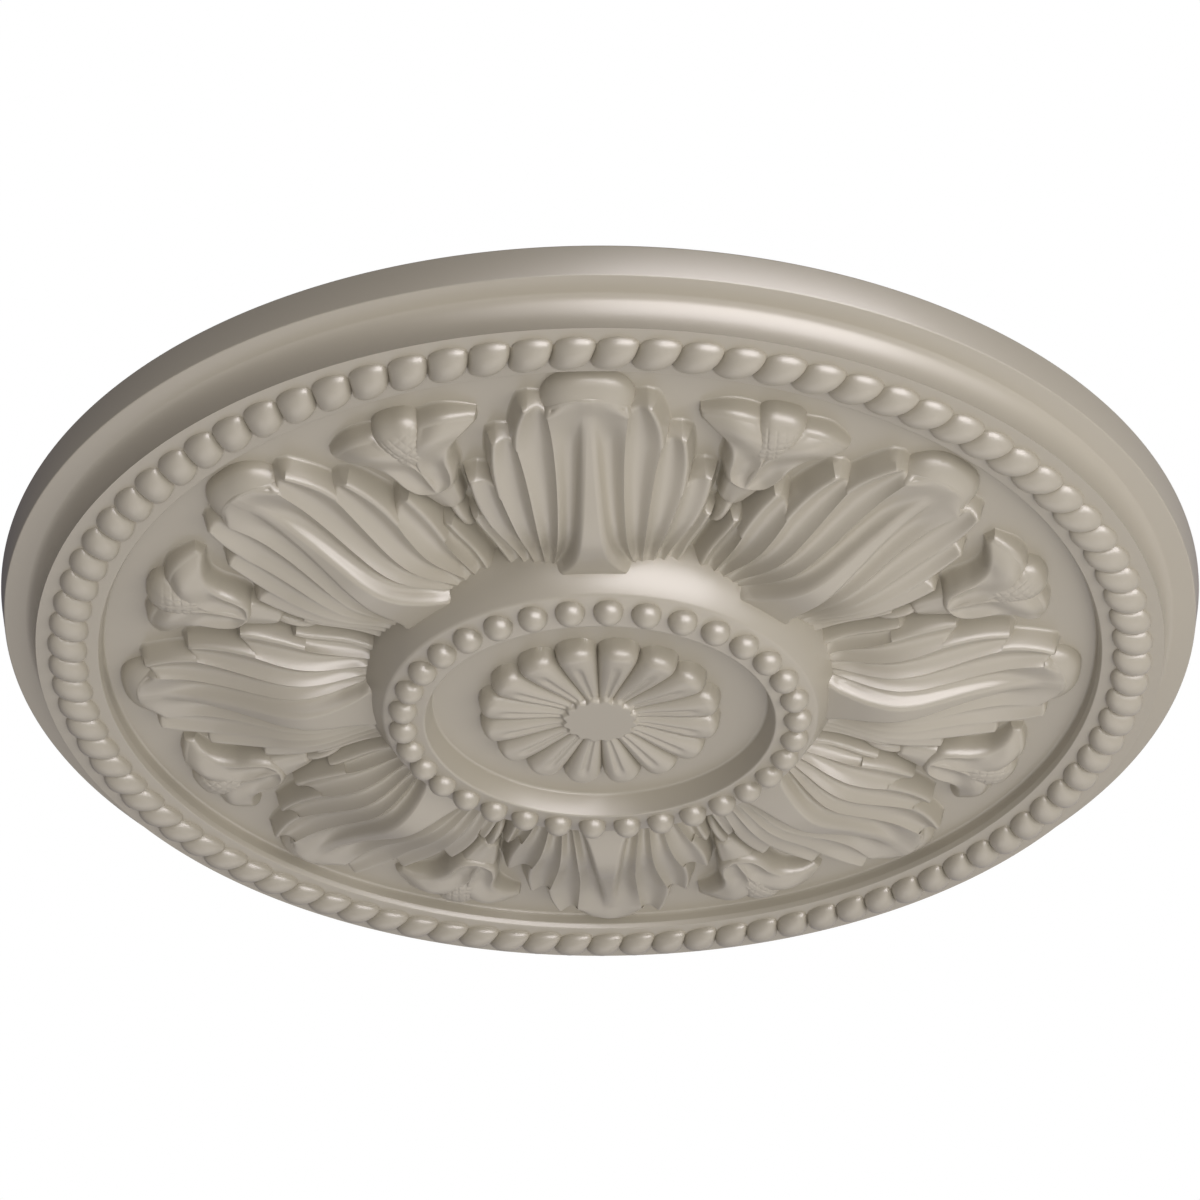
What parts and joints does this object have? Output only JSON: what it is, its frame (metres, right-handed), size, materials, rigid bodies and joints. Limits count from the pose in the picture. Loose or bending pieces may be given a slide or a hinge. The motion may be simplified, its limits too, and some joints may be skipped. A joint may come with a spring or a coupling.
{
  "type": "ceiling rose",
  "caption": "Round moulded ceiling rose with a rope border, acanthus leaves and bell flowers round a raised drum with a pearl ring and a petalled rosette; it fixes flat to a ceiling.",
  "frame": {"origin": "centre of the flat back, on the plane that lies against the ceiling", "axes": "+Z out of the flat back, into the ceiling; the carved face looks along -Z; one leaf's midrib lies along -Y"},
  "size_m": [0.46, 0.46, 0.044],
  "materials": {
    "painted_foam": "satin"
  },
  "bodies": {
    "root": {"ceiling_rose": "painted_foam"}
  },
  "joints": []
}
